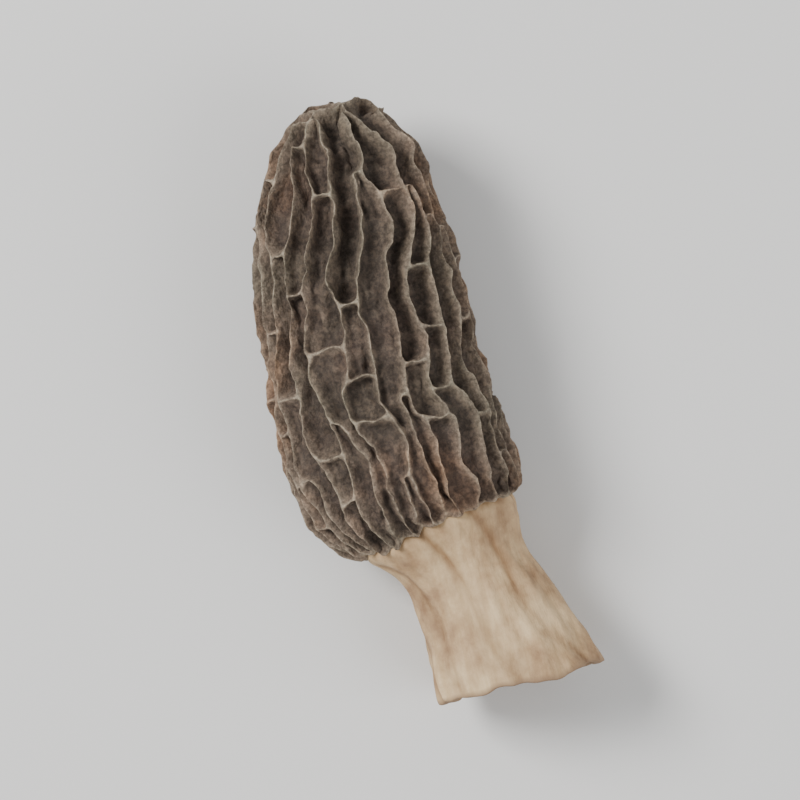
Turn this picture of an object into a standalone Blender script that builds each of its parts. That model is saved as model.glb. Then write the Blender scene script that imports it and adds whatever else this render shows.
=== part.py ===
"""A dried morel, picked and trimmed, lying on its side. Units are metres.

+X runs from the cut end of the stem to the tip of the cap, and +Z is up. The origin is on the
surface that the morel lies on, below the middle of its length and width. A morel grows as one
piece, so it is one solid: the ribbed cap and the stem are one wall of flesh round one hollow,
which ends under the tip and opens at the stem's cut end.

The wall is first turned about an upright axis that starts at the cut end, and then laid along the
bent line of the real thing. A place in it is (along, across, up): the distance from the cut end,
and the two distances from the middle of the section there.
"""

import math
import random

import bmesh
import bpy
from mathutils import Vector

MM = 0.001

# The whole morel
LENGTH = 47.8 * MM  # cut end to tip
FLATNESS = 0.87  # height over width
MERGE_DISTANCE = 0.01 * MM  # points closer than this are one point, as where a turned seam meets
LEVEL = 0.1 * MM  # an edge whose ends differ in height by less than this runs round the cap

# The bent middle line, as (distance from the cut end, offset): to the side, then above the floor
SIDEWAYS = [(0, -2.9), (6, -1.9), (10.5, -0.9), (13.6, 0.2), (17.6, 1.5), (22, 2.1), (34, 1.5), (47.8, 0)]
UPWARDS = [(0, 5.3), (6, 5.4), (12, 5.9), (18, 6.4), (25, 6.8), (34, 7.2), (47.8, 8.0)]

# The cap
CAP_LENGTH = 34.2 * MM
CAP_HALF_WIDTH = 9.1 * MM
CAP_BLUNTNESS = 3.4  # a larger power keeps the cap wide closer to its tip
CAP_ROUNDNESS = 2.6
TUCK_STARTS = 0.80  # share of the cap's length where its foot starts to turn in to the stem
TUCKED_SHARE = 0.82  # the lip's radius over the cap's
TUCK_POWER = 2.2
FOOT_SLANT = 0.20  # how much further down the cap reaches on its fuller side, per metre across
CAP_FLESH = 0.9 * MM  # the wall left below a pit
TIP_FLESH = 2.8 * MM
RIBS = 18
RIB_ROWS = 11  # rings of the cage from tip to lip
INNER_ROWS = 6
ROW_CROWDING = 2.0  # rings stand closer together towards the tip
PIT_DEPTH = 1.7 * MM
FULL_DEPTH_GAP = 2.4 * MM  # pits are shallower where the ribs stand closer together than this
RIB_SHARE = 0.2  # half a rib's thickness, as a share of the distance between ribs
MERGED_RIBS = 4.5 * MM  # every other rib ends this far below the tip
MISSING_CROSS_RIBS = 0.5  # share of the cross ribs that never formed, which leaves long pits
RIB_WANDER = 0.22  # sideways wander of a rib, as a share of the distance between ribs
CROSS_RIB_WANDER = 0.9 * MM
STEADY_LIP = 1.0 * MM  # the ribs don't wander within this distance of the lip
STEADY_TIP = 3.0 * MM  # nor within this radius at the tip

LIP_PLACE = LENGTH - CAP_LENGTH

# The stem
STEM_OUTLINE = [(0, 7.0), (2, 6.5), (5, 5.6), (8, 5.0), (10.4, 4.9), (12.4, 5.6), (14.6, 6.2)]
STEM_TOP = 14.6 * MM  # where it runs into the cap's flesh, above the lip
STEM_WALL = 0.85 * MM
STEM_ROWS = 7
FOLDS = 5
FOLD_DEPTH = 0.32 * MM
FOLD_TWIST = 0.5  # radians that a fold winds round over the stem's length
RAGGED_CUT = 0.55 * MM
RAGGED_LENGTH = 3.0 * MM  # the cut's raggedness dies out over this length

# Finishes: name, colour, roughness
FINISHES = [
    ("cap_flesh", (0.070, 0.052, 0.040, 1), 0.85),
    ("stem_flesh", (0.56, 0.43, 0.27, 1), 0.80),
]
CAP_SLOT = 0
STEM_SLOT = 1


def smooth(stations, place):
    """The value at a place, in metres, on a smooth curve through (place, value) pairs in mm."""
    at = min(max(place / MM, stations[0][0]), stations[-1][0])
    last = len(stations) - 1
    i = min(sum(station[0] <= at for station in stations) - 1, last - 1)

    def slope(k):
        before, after = stations[max(k - 1, 0)], stations[min(k + 1, last)]
        return (after[1] - before[1]) / (after[0] - before[0])

    span = stations[i + 1][0] - stations[i][0]
    t = (at - stations[i][0]) / span
    start = (2 * t**3 - 3 * t**2 + 1) * stations[i][1] + (t**3 - 2 * t**2 + t) * span * slope(i)
    end = (3 * t**2 - 2 * t**3) * stations[i + 1][1] + (t**3 - t**2) * span * slope(i + 1)
    return (start + end) * MM


def laid_down(along, across, up):
    """Where a place in a piece comes to lie, on the bent line from the cut end at x 0."""
    slant = FOOT_SLANT * across * max(0, 1 - abs(along - LIP_PLACE) / LIP_PLACE)
    return Vector((along - slant, across + smooth(SIDEWAYS, along), up + smooth(UPWARDS, along)))


def turned(name, profile, columns):
    """A mesh turned from a profile of (radius, height) points with a Screw modifier."""
    mesh = bpy.data.meshes.new(name + "_profile")
    edges = [(i, i + 1) for i in range(len(profile) - 1)]
    mesh.from_pydata([(radius, 0, height) for radius, height in profile], edges, [])
    guide = bpy.data.objects.new(name + "_guide", mesh)
    bpy.context.scene.collection.objects.link(guide)
    screw = guide.modifiers.new("Turn", "SCREW")
    screw.steps = columns
    screw.render_steps = columns
    screw.use_merge_vertices = True
    screw.merge_threshold = MERGE_DISTANCE
    shape = evaluated_copy(guide, name)
    bpy.data.objects.remove(guide)
    return shape


def evaluated_copy(obj, name):
    """The object's mesh with its modifiers applied, as a new mesh."""
    bpy.context.view_layer.update()
    graph = bpy.context.evaluated_depsgraph_get()
    mesh = bpy.data.meshes.new_from_object(obj.evaluated_get(graph), depsgraph=graph)
    mesh.name = name
    return mesh


def material(name, colour, roughness):
    """A Principled material for one kind of flesh."""
    made = bpy.data.materials.new(name)
    made.use_nodes = True
    shader = made.node_tree.nodes["Principled BSDF"]
    shader.inputs["Base Color"].default_value = colour
    shader.inputs["Roughness"].default_value = roughness
    made.diffuse_color = colour
    return made


def rounded_piece(name, shape, collection):
    """The cage in a bmesh as a named object, with its subdivision applied and its foot pressed flat."""
    cage = bpy.data.meshes.new(name + "_cage")
    shape.to_mesh(cage)
    shape.free()
    for finish in FINISHES:
        cage.materials.append(material(*finish))
    guide = bpy.data.objects.new(name + "_cage", cage)
    bpy.context.scene.collection.objects.link(guide)
    rounding = guide.modifiers.new("Round", "SUBSURF")
    rounding.levels = 1
    rounding.render_levels = 1
    mesh = evaluated_copy(guide, name)
    bpy.data.objects.remove(guide)
    for vertex in mesh.vertices:
        vertex.co.z = max(vertex.co.z, 0)
    mesh.shade_smooth()
    piece = bpy.data.objects.new(name, mesh)
    collection.objects.link(piece)
    return piece


def bullet(share):
    """A blunt bullet's radius at a share of its length from the tip, where its full radius is 1."""
    return (1 - (1 - share) ** CAP_BLUNTNESS) ** (1 / CAP_ROUNDNESS)


def cap_radius(below_tip):
    """The cap's outer radius at a distance below its tip: a blunt bullet that turns in at its foot."""
    share = min(below_tip / CAP_LENGTH, 1)
    tuck = max(0, (share - TUCK_STARTS) / (1 - TUCK_STARTS))
    return CAP_HALF_WIDTH * bullet(share) * (1 - (1 - TUCKED_SHARE) * tuck**TUCK_POWER)


def wall_profile():
    """The wall in section: down the cap from its tip, in under the lip, down the stem, and up the hollow."""
    cap_rows = [CAP_LENGTH * (row / RIB_ROWS) ** ROW_CROWDING for row in range(RIB_ROWS + 1)]
    points = [(cap_radius(below), LENGTH - below) for below in cap_rows]
    stem_rows = [STEM_TOP * row / STEM_ROWS for row in range(STEM_ROWS, -1, -1)]
    stem = [(smooth(STEM_OUTLINE, along), along) for along in stem_rows]
    points += stem + [(radius - STEM_WALL, along) for radius, along in reversed(stem)]
    hollow_length = CAP_LENGTH - TIP_FLESH
    for row in range(INNER_ROWS - 1, -1, -1):
        share = (row / INNER_ROWS) ** ROW_CROWDING
        radius = (CAP_HALF_WIDTH - PIT_DEPTH - CAP_FLESH) * bullet(share)
        points.append((radius, LENGTH - TIP_FLESH - hollow_length * share))
    return points


def runs_across(edge):
    """Whether an edge of the turned cage runs round the cap instead of along it."""
    return abs(edge.verts[0].co.z - edge.verts[1].co.z) < LEVEL


def merges_near_tip(edge):
    """Whether an edge along the cap is one of every other rib, on the stretch where those have ended."""
    ends = [vertex.co for vertex in edge.verts]
    column = round(math.atan2(ends[0].y, ends[0].x) / (2 * math.pi) * RIBS)
    off_axis = min(end.xy.length for end in ends) > MERGE_DISTANCE
    on_tip = min(end.z for end in ends) > LENGTH - MERGED_RIBS
    return not runs_across(edge) and off_axis and on_tip and column % 2 == 1


def press_pits(shape, faces):
    """Presses each face of the cage in as a pit, leaving its rim as ribs."""
    for face in faces:
        rib_gap = 2 * math.pi * cap_radius(LENGTH - face.calc_center_median().x) / RIBS
        shallow = min(1, rib_gap / FULL_DEPTH_GAP)
        bmesh.ops.inset_individual(
            shape, faces=[face], thickness=RIB_SHARE * rib_gap, depth=-PIT_DEPTH * shallow
        )


def wandered(place, chance):
    """A rib's place on the turned cap, moved a little round the cap and along it."""
    radius = place.xy.length
    if place.z < LIP_PLACE + STEADY_LIP or radius < STEADY_TIP:
        return place
    turn = RIB_WANDER * 2 * math.pi / RIBS * chance.uniform(-1, 1)
    angle = math.atan2(place.y, place.x) + turn
    slip = CROSS_RIB_WANDER * chance.uniform(-1, 1) * min(1, radius / CAP_HALF_WIDTH)
    return Vector((radius * math.cos(angle), radius * math.sin(angle), place.z + slip))


def folded(place, bites):
    """A place on the stem's wall, moved by its lengthwise folds and by the ragged cut at its end."""
    angle = math.atan2(place.y, place.x)
    along = place.z
    fold = math.cos(FOLDS * angle + FOLD_TWIST * FOLDS * along / STEM_TOP)
    radius = place.xy.length + FOLD_DEPTH * fold * (1 - (along / STEM_TOP) ** 3)
    bite = bites[round(angle / (2 * math.pi) * RIBS) % RIBS]
    along += RAGGED_CUT * bite * max(0, 1 - along / RAGGED_LENGTH)
    return Vector((radius * math.cos(angle), radius * math.sin(angle), along))


def make_morel(collection):
    """The whole morel: one turned wall, ribbed and pitted on the cap and folded on the stem."""
    chance = random.Random(11)
    shape = bmesh.new()
    shape.from_mesh(turned("morel", wall_profile(), RIBS))
    bmesh.ops.remove_doubles(shape, verts=shape.verts, dist=MERGE_DISTANCE)
    shape.normal_update()

    skin = set()
    for face in shape.faces:
        middle = face.calc_center_median()
        faces_out = face.normal.dot(Vector((middle.x, middle.y, 0))) > 0
        on_cap = middle.z > STEM_TOP
        face.material_index = CAP_SLOT if on_cap and faces_out else STEM_SLOT
        if on_cap and faces_out and len(face.verts) == 4:
            skin.add(face)
    on_skin = {vertex for face in skin for vertex in face.verts}
    inner_edges = [edge for edge in shape.edges if skin.issuperset(edge.link_faces)]
    never_formed = [
        edge for edge in inner_edges if runs_across(edge) and chance.random() < MISSING_CROSS_RIBS
    ]
    never_formed += [edge for edge in inner_edges if merges_near_tip(edge)]

    bites = [chance.uniform(-1, 1) for _ in range(RIBS)]
    for vertex in shape.verts:
        place = vertex.co
        if vertex in on_skin:
            place = wandered(place, chance)
        elif place.z < STEM_TOP:
            place = folded(place, bites)
        vertex.co = laid_down(place.z, place.x, place.y * FLATNESS)
    bmesh.ops.dissolve_edges(shape, edges=never_formed, use_verts=False)
    shape.normal_update()
    pits = [
        face
        for face in shape.faces
        if len(face.verts) >= 4 and all(vertex in on_skin for vertex in face.verts)
    ]
    press_pits(shape, pits)
    return rounded_piece("morel", shape, collection)


def centre_on_floor(piece):
    """Moves the piece's mesh so that the origin lies under the middle of its box."""
    places = [vertex.co.copy() for vertex in piece.data.vertices]
    middle_x = (min(place.x for place in places) + max(place.x for place in places)) / 2
    middle_y = (min(place.y for place in places) + max(place.y for place in places)) / 2
    for vertex in piece.data.vertices:
        vertex.co -= Vector((middle_x, middle_y, 0))


def main():
    for obj in list(bpy.data.objects):
        bpy.data.objects.remove(obj)
    collection = bpy.data.collections.new("dried_morel")
    bpy.context.scene.collection.children.link(collection)
    centre_on_floor(make_morel(collection))


main()
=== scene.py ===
"""A dried morel, picked and trimmed, lying on its side on a pale table, seen from above.

Lengths are in metres. +X runs from the stem's cut end to the cap's tip, and +Z is up. Each piece is
first shaped upright round the Z axis, with the cut end at height 0, and is then laid down along the
morel's bent middle line. A morel grows as one piece, so both pieces stand for the one node.
"""

import math
import random

import bmesh
import bpy
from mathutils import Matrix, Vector, noise


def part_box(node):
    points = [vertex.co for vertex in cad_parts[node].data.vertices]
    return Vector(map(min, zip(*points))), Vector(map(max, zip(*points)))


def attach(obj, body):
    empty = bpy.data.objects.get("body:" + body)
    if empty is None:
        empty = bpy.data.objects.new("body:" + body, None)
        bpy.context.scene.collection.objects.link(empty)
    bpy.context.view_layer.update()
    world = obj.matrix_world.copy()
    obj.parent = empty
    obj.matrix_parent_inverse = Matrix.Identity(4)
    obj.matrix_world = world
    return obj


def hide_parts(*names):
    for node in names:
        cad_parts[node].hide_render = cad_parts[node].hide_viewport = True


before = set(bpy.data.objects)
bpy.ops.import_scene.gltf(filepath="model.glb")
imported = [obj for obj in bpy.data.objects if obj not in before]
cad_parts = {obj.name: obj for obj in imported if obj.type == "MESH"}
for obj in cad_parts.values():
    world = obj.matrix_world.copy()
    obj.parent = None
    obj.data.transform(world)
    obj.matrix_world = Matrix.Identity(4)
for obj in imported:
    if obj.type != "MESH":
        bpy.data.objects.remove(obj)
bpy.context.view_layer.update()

# ---- The cap ----
# A hollow thimble of thin flesh, thrown into upright ribs with short cross ribs between them, so
# that its skin is all long pits. It dried in the air, which sharpened the ribs, crumpled the pits
# and curled the foot in towards the stem. It grew in one with the stem, and has no other fixing.

MM = 0.001
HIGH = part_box("morel")[1]
TIP_PLACE = 47.8 * MM  # distance from the stem's cut end
LENGTH_SHIFT = HIGH.x - TIP_PLACE
SIDE_SHIFT = -0.64 * MM  # from the tip to the middle of the box, across
FLATNESS = 0.84  # height over width

# The bent middle line, as (distance from the cut end, offset) in mm: sideways, then above the table
SIDEWAYS = [(0, -2.9), (6, -1.9), (10.5, -0.9), (13.6, 0.2), (17.6, 1.5), (22, 2.1), (34, 1.5), (47.8, 0)]
UPWARDS = [(0, 5.3), (6, 5.4), (12, 5.9), (18, 6.4), (25, 6.8), (34, 7.2), (47.8, 8.0)]

CAP_LENGTH = 34.2 * MM
CAP_HALF_WIDTH = 8.85 * MM  # over the ribs
LIP_PLACE = TIP_PLACE - CAP_LENGTH
DOME_CENTRE = TIP_PLACE - CAP_HALF_WIDTH  # the tip is rounded about this place on the middle line
FOOT_SLANT = 0.20  # how much further down the cap reaches on its fuller side
LINES = 48  # lengthwise lines of the cage: every even line can carry a rib
SKIN_ROWS = 32  # rings of the cage from the tip to the lip
HOLLOW_ROWS = 6
HOLLOW_RADIUS = 5.7 * MM
TIP_FLESH = 3.4 * MM
SOFT_LAYER = 0.5 * MM  # flesh this close to the table is squeezed by it
CROWN_ROW = 2  # the ring of arcs round the tip
CROWN_LINES = (2, 18, 34)  # the ribs across the tip, inside that ring
DARK_PIT_FACE = [(4, 11), (4, 12), (5, 11), (5, 12)]  # one face of the pit just below the tip
CRUMPLED_LINES = range(2, 11)  # where the foot shrank the most, on its fuller side

# The cap's outline, as shares of its length and radius
BLUNTNESS = 3.4  # a larger power keeps the cap wide closer to its tip
ROUNDNESS = 2.6
TUCK_STARTS = 0.83  # where the foot starts to turn in to the stem
TUCK_DEPTH = 0.20
TUCK_POWER = 2.4
OUTLINE_STEPS = 600
SMALL_FALL = 0.1 * MM  # a step down the outline that shows its slope
SHORT_OF_LIP = 0.01  # rows
HOLLOW_CROWDING = 1.6  # the hollow's rings stand closer together towards the tip
HOLLOW_TUCK = 0.9 * MM  # how far the hollow turns in at the foot
HOLLOW_TUCK_POWER = 4

# The ribs: gaps are in shares of an even gap between two lines
FORK_ROWS = 4  # a rib draws away from the one it forks off over this many rows
CROWDED_AT_FORK = 0.60  # how much narrower a gap is where its rib hasn't started, on the fork's side
CROWDED_AWAY = 0.22  # and on the other side
SHORT_RIB_ROOM = 0.3  # how much wider a gap is beside a short rib at the foot
NARROWEST_GAP = 0.2
EVEN_ROWS = 9  # the gaps grow uneven over this many rows from the tip
STILL_ROWS = 4  # and the points start to wander over this many
NEVER = 60  # a row past the lip: a rib that would start there never forms

# How far the cage's points wander: along in rows, the others in mm. A pair is the range of a draw.
WANDER_ALONG = 0.62
ALONG_DRAW = (-0.12, 0.12)
WANDER_OUT = 0.45
OUT_DRAW = (-0.16, 0.12)
HIGHEST_RISE = 0.12  # beyond the outline
BEND = 0.9  # sideways, together with the ribs around
BEND_GRAIN = 6 * MM
OWN_BEND = 0.6  # sideways, each rib by itself
OWN_GRAIN = 3.4 * MM
OWN_DRAW = (-0.16, 0.16)
TOOTH_DRAW = (0.1, 0.7)  # past the lip, at a rib's foot
NOTCH_DRAW = (-0.6, -0.2)  # and between two ribs
FULL_ROOM = 1.1 * MM  # ribs at least this far apart wander fully
LEAST_RADIUS = 1.5 * MM  # nearer the middle line than this, a sideways wander turns no further
TOOTH_INSET = 0.1  # the lip's radius below the outline, in mm, at a rib's foot
NOTCH_INSET = 0.9  # and between two ribs

# The cross ribs
CROSS_RIB_CHANCE = 0.15
CRUMPLED_CHANCE = 0.7
CRUMPLED_ROW = 19  # the crumpled foot is below this row
CROSS_RIB_ROWS = 4  # the least number of rows from one cross rib to the next
CRUMPLED_ROWS = 3

# The pits
CREST_INSET = 0.10 * MM  # half the crest of a rib
FOOT_INSET = 0.24 * MM  # how much wider half a rib is at its foot than at its crest
CREST_SHARE = 0.12  # those two at the most, as shares of the pit's width
FOOT_SHARE = 0.20
CREST_DEPTH = 0.12 * MM
CREST_HEIGHT = 0.72  # rib_height just below the crest, from 0 on a pit's floor to 1
PIT_DEPTH = 1.35 * MM
FOOT_PIT_DEPTH = 0.85 * MM  # beside the lip
DARK_PIT_DEPTH = 2.0 * MM
DEEPEST_SHARE = 0.85  # of the pit's width
DEPTH_DRAW = (0.85, 1.15)  # times that depth
FOOT_ZONE = 2 * MM

# The crumpling, as (size, grain): how far the flesh moves, and how far apart the folds are. The
# folds on the pits' floors also have the share that lengths count for, which stretches them out.
BROAD_FOLDS = (0.34 * MM, 4.5 * MM)
MIDDLE_FOLDS = (0.26 * MM, 1.5 * MM)
WRINKLES = (0.12 * MM, 0.65 * MM)
FINE_WRINKLES = (0.05 * MM, 0.33 * MM)
FLOOR_FOLDS = [(0.42, 1.1 * MM, 1), (0.2, 0.5 * MM, 1), (0.42, 0.62 * MM, 0.22)]  # sizes in mm
# Painted light: a fold crest on a pit's floor is lifted out of the pits' painted shade
PALE_FOLDS = 1.6  # how soon a fold on a floor turns pale
PALEST_FOLD = 0.5
NOISE_SEED = 2  # keeps the vector noise the same in every run


def smooth_line(stations, place):
    """The value at a place, in metres, on a smooth curve through (place, value) pairs in mm."""
    at = min(max(place / MM, stations[0][0]), stations[-1][0])
    last = len(stations) - 1
    i = min(sum(station[0] <= at for station in stations) - 1, last - 1)

    def slope(k):
        before, after = stations[max(k - 1, 0)], stations[min(k + 1, last)]
        return (after[1] - before[1]) / (after[0] - before[0])

    span = stations[i + 1][0] - stations[i][0]
    t = (at - stations[i][0]) / span
    start = (2 * t**3 - 3 * t**2 + 1) * stations[i][1] + (t**3 - 2 * t**2 + t) * span * slope(i)
    end = (3 * t**2 - 2 * t**3) * stations[i + 1][1] + (t**3 - t**2) * span * slope(i + 1)
    return (start + end) * MM


def pressed(height):
    """A height above the table, with what would reach into the table squeezed flat on it."""
    return height if height > SOFT_LAYER else SOFT_LAYER * math.exp(height / SOFT_LAYER - 1)


def lay_down(mesh):
    """Lays an upright piece along the morel's middle line, with what meets the table pressed flat."""
    for vertex in mesh.vertices:
        across, up, along = vertex.co
        slant = FOOT_SLANT * across * max(0, 1 - abs(along - LIP_PLACE) / LIP_PLACE)
        vertex.co = (
            along - slant + LENGTH_SHIFT,
            across + smooth_line(SIDEWAYS, along) + SIDE_SHIFT,
            pressed(up * FLATNESS + smooth_line(UPWARDS, along)),
        )
    mesh.update()


def only(obj):
    """Makes one object the active and only selected one."""
    bpy.ops.object.select_all(action="DESELECT")
    obj.select_set(True)
    bpy.context.view_layer.objects.active = obj


def round_off(obj, levels):
    """Applies a Subdivision Surface modifier."""
    only(obj)
    rounding = obj.modifiers.new("Round", "SUBSURF")
    rounding.levels = levels
    rounding.render_levels = levels
    bpy.ops.object.modifier_apply(modifier=rounding.name)


def bullet(share):
    """A blunt bullet's radius at a share of its length from the tip, where its full radius is 1."""
    return (1 - (1 - share) ** BLUNTNESS) ** (1 / ROUNDNESS)


def cap_radius(below_tip):
    """The cap's radius over its ribs at a distance below its tip. Its foot turns in."""
    share = min(max(below_tip / CAP_LENGTH, 0), 1)
    tuck = max(0, (share - TUCK_STARTS) / (1 - TUCK_STARTS))
    return CAP_HALF_WIDTH * bullet(share) * (1 - TUCK_DEPTH * tuck**TUCK_POWER)


# Rings evenly spaced along the cap's outline, as distances below its tip
steps = [CAP_LENGTH * step / OUTLINE_STEPS for step in range(OUTLINE_STEPS + 1)]
run = [0]
for above, below in zip(steps, steps[1:]):
    run.append(run[-1] + math.hypot(below - above, cap_radius(below) - cap_radius(above)))
row_depth = []
for row in range(SKIN_ROWS + 1):
    reach = run[-1] * row / SKIN_ROWS
    row_depth.append(next(step for step, length in zip(steps, run) if length >= reach))


def on_outline(row, lift):
    """(radius, distance below the tip) on the cap's outline at a row, which may be fractional, lifted
    square off the outline."""
    row = min(max(row, 0), SKIN_ROWS - SHORT_OF_LIP)
    whole = int(row)
    below = row_depth[whole] + (row - whole) * (row_depth[whole + 1] - row_depth[whole])
    radius = cap_radius(below)
    flare = cap_radius(below + SMALL_FALL) - radius
    slope = math.hypot(SMALL_FALL, flare)
    return radius + lift * SMALL_FALL / slope, below - lift * flare / slope


chance = random.Random(23)
noise.seed_set(NOISE_SEED)

# The row that each line's rib starts at, and the side on which it forks off its neighbour
rib_start = {}
fork_side = {}
for line in range(LINES):
    fork_side[line] = chance.choice([-1, 1])
    if line % 8 == 0:
        rib_start[line] = CROWN_ROW
    elif line % 8 == 4:
        rib_start[line] = chance.choice([3, 4])
    elif line % 2 == 0:
        rib_start[line] = chance.choice([5, 6, 6, 7, 8, 10, 13])
    else:
        rib_start[line] = chance.choice([23, 25, 26, 28, NEVER, NEVER])

# A dark oval pit on the upper side, just below the tip, in an arc of two ribs
for line, start, side in [(10, 3, -1), (14, 3, 1), (12, 8, 1)]:
    rib_start[line] = start
    fork_side[line] = side


def gaps_beside(line, side):
    """The gaps between lines from one rib's start to the nearest older rib on one side of it."""
    start = rib_start[line]
    gaps = []
    while not gaps or rib_start[line] >= start:
        gaps.append(line if side > 0 else (line - 1) % LINES)
        line = (line + side) % LINES
    return gaps


def line_turns(row):
    """Where each line stands round the cap in one row. A rib that starts lower down is crowded
    against the older rib that it forks off."""
    widths = [1.0] * LINES
    for line in range(LINES):
        missing = min(max((rib_start[line] + FORK_ROWS - row) / FORK_ROWS, 0), 1)
        if line % 2 == 0 and rib_start[line] > CROWN_ROW:
            for gap in gaps_beside(line, fork_side[line])[:2]:
                widths[gap] -= CROWDED_AT_FORK * missing
            for gap in gaps_beside(line, -fork_side[line])[:2]:
                widths[gap] -= CROWDED_AWAY * missing
        elif line % 2 == 1:
            for gap in (line - 1, line):
                widths[gap] += SHORT_RIB_ROOM * (1 - missing)
    uneven = min(1, row / EVEN_ROWS)
    widths = [1 + (max(width, NARROWEST_GAP) - 1) * uneven for width in widths]
    turns = [0]
    for width in widths[:-1]:
        turns.append(turns[-1] + width)
    return [2 * math.pi * turn / sum(widths) for turn in turns]


def unit_noise(*place):
    """Smooth noise from -1 to 1 at a place given in units of its grain. The uses below stay apart by
    their steps from line to line and row to row, and by an offset."""
    return noise.noise(Vector(place))


bpy.ops.mesh.primitive_uv_sphere_add(segments=LINES, ring_count=SKIN_ROWS + HOLLOW_ROWS + 1, radius=1)
cap = bpy.context.object
cap.name = "ridged_cap"
cap.data.name = "ridged_cap"
turns_of = [line_turns(row) for row in range(SKIN_ROWS + 1)]
row_of = []
line_of = []
for vertex in cap.data.vertices:
    row = round(math.acos(max(-1, min(1, vertex.co.z))) / math.pi * (SKIN_ROWS + HOLLOW_ROWS + 1))
    line = round(math.atan2(vertex.co.y, vertex.co.x) / (2 * math.pi) * LINES) % LINES
    row_of.append(row)
    line_of.append(line)
    if row <= SKIN_ROWS:
        turn = turns_of[row][line]
        freedom = min(1, row / STILL_ROWS)
        shift = WANDER_ALONG * unit_noise(line * 1.7, row * 0.9, 9.0) + chance.uniform(*ALONG_DRAW)
        lift = WANDER_OUT * unit_noise(line * 2.3, row * 0.55, 2.0) + chance.uniform(*OUT_DRAW)
        lift = min(lift, HIGHEST_RISE)
        radius, below = on_outline(row + shift * freedom, lift * freedom * MM)
        if row > 0:
            turns = turns_of[row]
            before = (turn - turns[line - 1]) % (2 * math.pi)
            after = (turns[(line + 1) % LINES] - turn) % (2 * math.pi)
            room = min(1, min(before, after) * radius / FULL_ROOM) * MM
            bend = BEND * unit_noise(2 * math.cos(turn), 2 * math.sin(turn), below / BEND_GRAIN)
            own = OWN_BEND * unit_noise(line * 1.7, below / OWN_GRAIN, 1.5) + chance.uniform(*OWN_DRAW)
            turn += (bend * freedom * MM + own * room) / max(radius, LEAST_RADIUS)
        if row == SKIN_ROWS:
            below = CAP_LENGTH + chance.uniform(*(TOOTH_DRAW if line % 2 == 0 else NOTCH_DRAW)) * MM
            radius = cap_radius(CAP_LENGTH) - (TOOTH_INSET if line % 2 == 0 else NOTCH_INSET) * MM
    else:
        share = (SKIN_ROWS + HOLLOW_ROWS + 1 - row) / HOLLOW_ROWS
        crowded_share = share**HOLLOW_CROWDING
        below = TIP_FLESH + (CAP_LENGTH - TIP_FLESH) * crowded_share
        radius = HOLLOW_RADIUS * bullet(crowded_share) - HOLLOW_TUCK * share**HOLLOW_TUCK_POWER
        turn = 2 * math.pi * line / LINES
    if row in (0, SKIN_ROWS + HOLLOW_ROWS + 1):
        radius = 0
    vertex.co = (radius * math.cos(turn), radius * math.sin(turn), TIP_PLACE - below)

# The cross ribs, as (row, gap between lines): first the link from each new rib to an older one
cross_ribs = set()
for line in range(LINES):
    if CROWN_ROW < rib_start[line] <= SKIN_ROWS:
        cross_ribs.update((rib_start[line], gap) for gap in gaps_beside(line, fork_side[line]))
for line in range(0, LINES, 2):
    since = CROSS_RIB_ROWS
    for row in range(CROWN_ROW + 2, SKIN_ROWS - 2):
        since += 1
        between_ribs = max(rib_start[line], rib_start[(line + 2) % LINES]) < row - 1
        crumpled = line in CRUMPLED_LINES
        in_line = any((row + step, (line - 1) % LINES) in cross_ribs for step in (-1, 0, 1))
        crowded = since < (CRUMPLED_ROWS if crumpled else CROSS_RIB_ROWS)
        crowded = crowded or row - CROSS_RIB_ROWS < rib_start[line + 1] <= row + 1
        often = CRUMPLED_CHANCE if crumpled and row > CRUMPLED_ROW else CROSS_RIB_CHANCE
        if between_ribs and not in_line and not crowded and chance.random() < often:
            cross_ribs.update([(row, line), (row, line + 1)])
            since = 0


def formed(ends):
    """Whether the flesh stands up in a rib between two neighbouring points, (row, line), of the cage."""
    (row, line), (next_row, next_line) = ends
    if row < next_row:
        return next_line in CROWN_LINES if row < CROWN_ROW else row >= rib_start[next_line]
    if row in (CROWN_ROW, SKIN_ROWS):
        return True
    return (row, next_line if (next_line + 1) % LINES == line else line) in cross_ribs


def cage_place(element):
    """The places, (row, line), of an edge's or face's points, which are the same in every run. The
    order in which Blender lists a new sphere's edges and faces isn't."""
    return sorted((row_of[vertex.index], line_of[vertex.index]) for vertex in element.verts)


only(cap)
bpy.ops.object.mode_set(mode="EDIT")
bpy.ops.mesh.select_mode(type="FACE")
shape = bmesh.from_edit_mesh(cap.data)
for elements in (shape.edges, shape.faces):
    for index, element in enumerate(sorted(elements, key=cage_place)):
        element.index = index
    elements.sort()
rib_height = shape.verts.layers.float.new("rib_height")
hollow = shape.verts.layers.float.new("hollow")
pit_of = shape.faces.layers.int.new("pit")
for vertex in shape.verts:
    vertex[rib_height] = 1
    vertex[hollow] = float(row_of[vertex.index] > SKIN_ROWS)
pits = 0
for seed in shape.faces:
    if seed[pit_of] or any(row_of[vertex.index] > SKIN_ROWS for vertex in seed.verts):
        continue
    pits += 1
    seed[pit_of] = pits
    reached = [seed]
    while reached:
        for edge in reached.pop().edges:
            if formed(cage_place(edge)):
                continue
            for face in edge.link_faces:
                if not face[pit_of]:
                    face[pit_of] = pits
                    reached.append(face)
dark_pit = next(face[pit_of] for face in shape.faces if cage_place(face) == DARK_PIT_FACE)


def sink(thickness, depth, height):
    """Insets the selected pit as one face and sinks it, and notes how high its floor stands."""
    bpy.ops.mesh.inset(thickness=thickness, depth=-depth, use_even_offset=False)
    shape = bmesh.from_edit_mesh(cap.data)
    rib_height = shape.verts.layers.float["rib_height"]
    for face in shape.faces:
        if face.select:
            for vertex in face.verts:
                vertex[rib_height] = height


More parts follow.
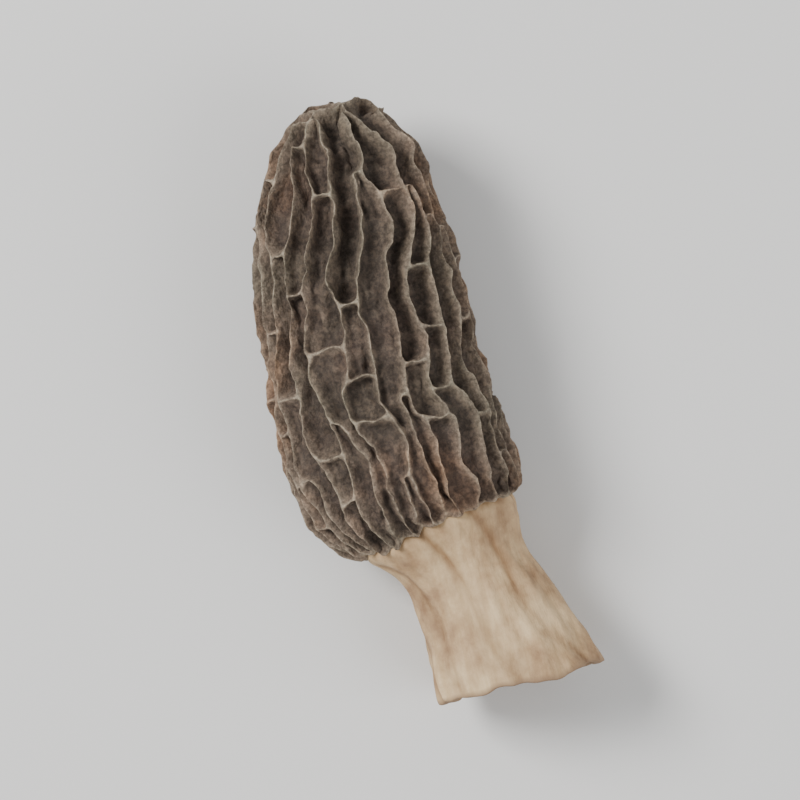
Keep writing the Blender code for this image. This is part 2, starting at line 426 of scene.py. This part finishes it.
for pit in range(1, pits + 1):
    bpy.ops.mesh.select_all(action="DESELECT")
    shape = bmesh.from_edit_mesh(cap.data)
    pit_of = shape.faces.layers.int["pit"]
    faces = [face for face in shape.faces if face[pit_of] == pit]
    for face in faces:
        face.select_set(True)
    bmesh.update_edit_mesh(cap.data)
    area = sum(face.calc_area() for face in faces)
    edges = [edge for face in faces for edge in face.edges]
    outline = sum(edge.calc_length() for edge in edges if sum(face.select for face in edge.link_faces) == 1)
    width = 2 * area / outline
    at_foot = min(face.calc_center_median().z for face in faces) < LIP_PLACE + FOOT_ZONE
    deepest = FOOT_PIT_DEPTH if at_foot else PIT_DEPTH
    depth = min(deepest, DEEPEST_SHARE * width) * chance.uniform(*DEPTH_DRAW)
    if pit == dark_pit:
        depth = DARK_PIT_DEPTH
    sink(min(CREST_INSET, CREST_SHARE * width), CREST_DEPTH, CREST_HEIGHT)
    sink(min(FOOT_INSET, FOOT_SHARE * width), depth, 0.0)
bpy.ops.object.mode_set(mode="OBJECT")
round_off(cap, 2)


def folded(place, folds, offset=(0, 0, 0)):
    """How far folds of a (size, grain) move a place. It depends on the place alone, so that the two
    sides of a thin rib move together."""
    size, grain = folds
    return noise.noise_vector(place / grain + Vector(offset)) * size


# Drying crumples the flesh: broad folds, then smaller ones, low lengthwise folds on the floors of the pits,
# whose crests are painted paler, out of the pits' painted shade, and fine wrinkles all over
heights = cap.data.attributes["rib_height"].data
for vertex, height in zip(cap.data.vertices, heights):
    place = vertex.co.copy()
    outward = (place - Vector((0, 0, min(place.z, DOME_CENTRE)))).normalized()
    swell = sum(
        size * noise.noise(Vector((place.x, place.y, stretch * place.z)) / grain)
        for size, grain, stretch in FLOOR_FOLDS
    )
    folds = folded(place, BROAD_FOLDS) + folded(place, MIDDLE_FOLDS, (7, 3, 1))
    vertex.co = place + folds + outward * swell * (1 - height.value) * MM
    # Painted light: a fold crest on a pit's floor takes less of the pits' painted shade
    height.value += (1 - height.value) * PALEST_FOLD * min(max(PALE_FOLDS * swell, 0), 1)
for vertex in cap.data.vertices:
    place = vertex.co.copy()
    vertex.co = place + folded(place, WRINKLES) + folded(place, FINE_WRINKLES)
lay_down(cap.data)
cap.data.shade_smooth()


def shader_of(name):
    """A new material, its node tree and its shader."""
    made = bpy.data.materials.new(name)
    made.use_nodes = True
    return made, made.node_tree, made.node_tree.nodes["Principled BSDF"]


def node(tree, kind, **values):
    """A node with its input sockets set by name."""
    made = tree.nodes.new(kind)
    for name, value in values.items():
        made.inputs[name.replace("_", " ")].default_value = value
    return made


def ramp(tree, factor, stops):
    """A colour ramp of (position, colour) stops on a factor socket."""
    made = tree.nodes.new("ShaderNodeValToRGB")
    elements = made.color_ramp.elements
    while len(elements) < len(stops):
        elements.new(0.5)
    for element, (position, colour) in zip(elements, stops):
        element.position = position
        element.color = (*colour, 1)
    tree.links.new(factor, made.inputs["Fac"])
    return made.outputs["Color"]


def mixed(tree, factor, first, second, blend="MIX"):
    """A colour mix. A factor or colour may be a socket or a plain value."""
    made = tree.nodes.new("ShaderNodeMix")
    made.data_type = "RGBA"
    made.blend_type = blend
    for socket, value in zip((made.inputs[0], made.inputs[6], made.inputs[7]), (factor, first, second)):
        if isinstance(value, bpy.types.NodeSocket):
            tree.links.new(value, socket)
        else:
            socket.default_value = value
    return made.outputs[2]


cap_flesh, tree, shader = shader_of("cap_flesh")
position = tree.nodes.new("ShaderNodeTexCoord").outputs["Object"]
height = tree.nodes.new("ShaderNodeAttribute")
height.attribute_name = "rib_height"
inside = tree.nodes.new("ShaderNodeAttribute")
inside.attribute_name = "hollow"
mottle = node(tree, "ShaderNodeTexNoise", Scale=620, Detail=7, Roughness=0.66)
patches = node(tree, "ShaderNodeTexNoise", Scale=120, Detail=4, Roughness=0.55)
for texture in (mottle, patches):
    tree.links.new(position, texture.inputs["Vector"])
uneven = node(tree, "ShaderNodeMath")
uneven.operation = "MULTIPLY_ADD"
tree.links.new(mottle.outputs["Fac"], uneven.inputs[0])
uneven.inputs[1].default_value = 0.56
uneven.inputs[2].default_value = -0.28
lifted = node(tree, "ShaderNodeMath")
tree.links.new(height.outputs["Fac"], lifted.inputs[0])
tree.links.new(uneven.outputs[0], lifted.inputs[1])
# Colour from the height above a pit's floor: the ribs' own paler colour, and painted shade that darkens the
# pits towards their floors
skin_colour_and_pit_shade = ramp(
    tree,
    lifted.outputs[0],
    [
        (0.0, (0.080, 0.055, 0.040)),
        (0.30, (0.128, 0.090, 0.064)),
        (0.70, (0.192, 0.141, 0.101)),
        (0.88, (0.250, 0.190, 0.138)),
        (1.0, (0.370, 0.298, 0.218)),
    ],
)
warm = ramp(
    tree,
    patches.outputs["Fac"],
    [(0.36, (0.82, 0.90, 0.88)), (0.50, (1.0, 1.0, 1.0)), (0.66, (1.36, 1.05, 0.84))],
)
colour = mixed(tree, 0.75, skin_colour_and_pit_shade, warm, "MULTIPLY")
specks = node(tree, "ShaderNodeTexNoise", Scale=2600, Detail=4, Roughness=0.7)
tree.links.new(position, specks.inputs["Vector"])
dusting = ramp(
    tree,
    specks.outputs["Fac"],
    [(0.41, (0.64, 0.61, 0.58)), (0.50, (1.0, 1.0, 1.0)), (0.60, (1.5, 1.46, 1.4))],
)
colour = mixed(tree, 0.8, colour, dusting, "MULTIPLY")
lining = ramp(tree, mottle.outputs["Fac"], [(0.35, (0.36, 0.25, 0.15)), (0.62, (0.58, 0.46, 0.31))])
colour = mixed(tree, inside.outputs["Fac"], colour, lining)
tree.links.new(colour, shader.inputs["Base Color"])
shader.inputs["Roughness"].default_value = 0.78
grain = node(tree, "ShaderNodeTexNoise", Scale=2100, Detail=6, Roughness=0.7)
tree.links.new(position, grain.inputs["Vector"])
grain_bump = node(tree, "ShaderNodeBump", Strength=0.9, Distance=0.00035)
tree.links.new(grain.outputs["Fac"], grain_bump.inputs["Height"])
crumple_bump = node(tree, "ShaderNodeBump", Strength=0.8, Distance=0.0009)
tree.links.new(mottle.outputs["Fac"], crumple_bump.inputs["Height"])
tree.links.new(grain_bump.outputs["Normal"], crumple_bump.inputs["Normal"])
tree.links.new(crumple_bump.outputs["Normal"], shader.inputs["Normal"])
cap.data.materials.append(cap_flesh)

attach(cap, "root")
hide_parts("morel")

# ---- The stem ----
# A hollow tube of pale flesh in one with the cap, which closes over its flared top. It dried into
# lengthwise folds, and its lower end was trimmed off with a knife, which left an open, ragged rim.

STEM_OUTLINE = [(0, 6.7), (2, 6.3), (5, 5.6), (8, 5.0), (10.4, 4.9), (12.2, 5.6), (13.4, 6.1), (14.8, 5.2)]
STEM_TOP = 14.8 * MM
STEM_WALL = 0.95 * MM
STEM_COLUMNS = 120
STEM_ROWS = 34  # rings from the cut end to the top, and again down the inside
FOLD_HEIGHT = 0.62 * MM
FOLD_TWIST = 0.7  # radians between the cut end and the top
FOLD_WANDER = 0.45  # radians
BROAD_FOLD_COUNT = 7
BROAD_FOLD_POWER = 0.7  # a smaller power makes rounder folds with sharper creases
NARROW_FOLD_COUNT = 19
NARROW_FOLD_POWER = 0.8
BROAD_FOLD_SHARE = 0.72  # the rest of a fold's height is the narrow folds'
FOLD_MIDDLE = 0.6  # the fold height that leaves the outline where it is
CALM_MIDDLE = 0.35  # how much lower the folds are at the stem's middle
ROUND_SCALE = 1.3  # a circle of this size in the noise gives one turn round the stem
RIM_POWER = 0.3  # a smaller power makes the wall's rim squarer
RAGGED_CUT = 0.75  # mm
NICKED_CUT = 0.3  # mm
RAGGED_LENGTH = 3 * MM  # the cut's raggedness dies out over this length
CUT_EDGE = 0.5 * MM  # how far up the cut's brown edge shows
RIPPLE_WIDTH = 0.25  # a ripple's width, as a share of its length
RIPPLES = (0.24 * MM, 1.3 * MM)  # size and grain
STEM_WRINKLES = (0.09 * MM, 0.45 * MM)
STEM_FOLDS = (0.3 * MM, 4 * MM)

bpy.ops.mesh.primitive_torus_add(
    major_segments=STEM_COLUMNS, minor_segments=2 * STEM_ROWS, major_radius=1, minor_radius=0.25
)
stem = bpy.context.object
stem.name = "stem"
stem.data.name = "stem"
fold_height = stem.data.attributes.new("fold_height", "FLOAT", "POINT")
cut_edge = stem.data.attributes.new("cut_edge", "FLOAT", "POINT")
for index, vertex in enumerate(stem.data.vertices):
    turn = math.atan2(vertex.co.y, vertex.co.x)
    section = math.atan2(vertex.co.z, vertex.co.xy.length - 1)
    share = (math.sin(section) + 1) / 2
    along = STEM_TOP * share
    outer = math.copysign(abs(math.cos(section)) ** RIM_POWER, math.cos(section))
    radius = smooth_line(STEM_OUTLINE, along) + (outer - 1) / 2 * STEM_WALL
    round_place = (ROUND_SCALE * math.cos(turn), ROUND_SCALE * math.sin(turn))
    bent = turn + FOLD_TWIST * share + FOLD_WANDER * unit_noise(*round_place, 1.6 * share)
    broad = abs(math.sin(BROAD_FOLD_COUNT / 2 * bent)) ** BROAD_FOLD_POWER
    slip = 2 * unit_noise(*round_place, 2.5 * share + 5)
    narrow = abs(math.sin(NARROW_FOLD_COUNT / 2 * bent + slip)) ** NARROW_FOLD_POWER
    fold = BROAD_FOLD_SHARE * broad + (1 - BROAD_FOLD_SHARE) * narrow
    fold_height.data[index].value = fold
    radius += FOLD_HEIGHT * (fold - FOLD_MIDDLE) * (1 - CALM_MIDDLE * math.sin(math.pi * share))
    ragged = RAGGED_CUT * unit_noise(*round_place, 3.0)
    ragged += NICKED_CUT * unit_noise(5 * math.cos(turn), 5 * math.sin(turn), 8.0)
    along += ragged * MM * max(0, 1 - along / RAGGED_LENGTH)
    cut_edge.data[index].value = max(0, 1 - share * STEM_TOP / CUT_EDGE)
    vertex.co = (radius * math.cos(turn), radius * math.sin(turn), along)
round_off(stem, 1)
for vertex in stem.data.vertices:
    place = vertex.co.copy()
    outward = Vector((place.x, place.y, 0)).normalized()
    long_place = Vector((place.x, place.y, place.z * RIPPLE_WIDTH))
    ripple = sum(noise.noise(long_place / grain) * size for size, grain in (RIPPLES, STEM_WRINKLES))
    vertex.co = place + outward * ripple + folded(place, STEM_FOLDS)
lay_down(stem.data)
stem.data.shade_smooth()

stem_flesh, tree, shader = shader_of("stem_flesh")
position = tree.nodes.new("ShaderNodeTexCoord").outputs["Object"]
stains = node(tree, "ShaderNodeTexNoise", Scale=230, Detail=6, Roughness=0.62)
tree.links.new(position, stains.inputs["Vector"])
stretch = tree.nodes.new("ShaderNodeMapping")
stretch.inputs["Scale"].default_value = (0.16, 1, 1)
tree.links.new(position, stretch.inputs["Vector"])
fibres = node(tree, "ShaderNodeTexNoise", Scale=1500, Detail=4, Roughness=0.6)
tree.links.new(stretch.outputs["Vector"], fibres.inputs["Vector"])
cream = ramp(
    tree,
    stains.outputs["Fac"],
    [
        (0.32, (0.27, 0.16, 0.085)),
        (0.46, (0.45, 0.305, 0.170)),
        (0.62, (0.62, 0.46, 0.270)),
    ],
)
fibre_tint = ramp(tree, fibres.outputs["Fac"], [(0.35, (0.80, 0.75, 0.68)), (0.6, (1.0, 1.0, 1.0))])
cream = mixed(tree, 0.75, cream, fibre_tint, "MULTIPLY")
# Painted shade and light: the stem is darkened down into its folds' creases and lightened a little on the
# folds' crests
folds = tree.nodes.new("ShaderNodeAttribute")
folds.attribute_name = "fold_height"
crease_shade_and_crest_light = ramp(
    tree,
    folds.outputs["Fac"],
    [(0.12, (0.52, 0.42, 0.33)), (0.5, (0.93, 0.90, 0.86)), (0.9, (1.08, 1.07, 1.04))],
)
cream = mixed(tree, 1.0, cream, crease_shade_and_crest_light, "MULTIPLY")
cut = tree.nodes.new("ShaderNodeAttribute")
cut.attribute_name = "cut_edge"
cream = mixed(tree, cut.outputs["Fac"], cream, (0.24, 0.15, 0.085, 1))
tree.links.new(cream, shader.inputs["Base Color"])
shader.inputs["Roughness"].default_value = 0.75
grain = node(tree, "ShaderNodeTexNoise", Scale=2600, Detail=5, Roughness=0.65)
tree.links.new(position, grain.inputs["Vector"])
grain_bump = node(tree, "ShaderNodeBump", Strength=0.5, Distance=0.0001)
tree.links.new(grain.outputs["Fac"], grain_bump.inputs["Height"])
fibre_bump = node(tree, "ShaderNodeBump", Strength=0.7, Distance=0.00016)
tree.links.new(fibres.outputs["Fac"], fibre_bump.inputs["Height"])
tree.links.new(grain_bump.outputs["Normal"], fibre_bump.inputs["Normal"])
tree.links.new(fibre_bump.outputs["Normal"], shader.inputs["Normal"])
stem.data.materials.append(stem_flesh)

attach(stem, "root")
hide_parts("morel")

# ---- The table, the light and the camera ----
# A pale matt table top, two big soft lights, and a long lens looking straight down.

bpy.ops.mesh.primitive_plane_add(size=3)
table = bpy.context.object
table.name = "table"
pale, tree, shader = shader_of("pale_table")
shader.inputs["Base Color"].default_value = (0.72, 0.71, 0.69, 1)
shader.inputs["Roughness"].default_value = 0.9
table.data.materials.append(pale)


def soft_light(name, place, width, watts):
    """A square area light that points at the morel."""
    lamp = bpy.data.lights.new(name, "AREA")
    lamp.size = width
    lamp.energy = watts
    obj = bpy.data.objects.new(name, lamp)
    obj.location = place
    obj.rotation_euler = (Vector((0, 0, 0)) - Vector(place)).to_track_quat("-Z", "Y").to_euler()
    bpy.context.scene.collection.objects.link(obj)


soft_light("key", (0.22, 0.28, 0.36), 0.20, 3.2)
soft_light("fill", (-0.25, -0.30, 0.30), 0.35, 1.2)
world = bpy.data.worlds.new("studio")
world.use_nodes = True
world.node_tree.nodes["Background"].inputs["Color"].default_value = (0.95, 0.97, 1.0, 1)
world.node_tree.nodes["Background"].inputs["Strength"].default_value = 0.55
bpy.context.scene.world = world

LEAN = math.radians(14.8)  # the morel's axis leans this far to the left of the picture's upright
CAMERA_HEIGHT = 0.60
lens = bpy.data.cameras.new("camera")
lens.lens = 340
lens.sensor_width = 36
camera = bpy.data.objects.new("camera", lens)
camera.location = (0, 0, CAMERA_HEIGHT)
camera.rotation_euler = (0, 0, -math.pi / 2 - LEAN)
bpy.context.scene.collection.objects.link(camera)
bpy.context.scene.camera = camera
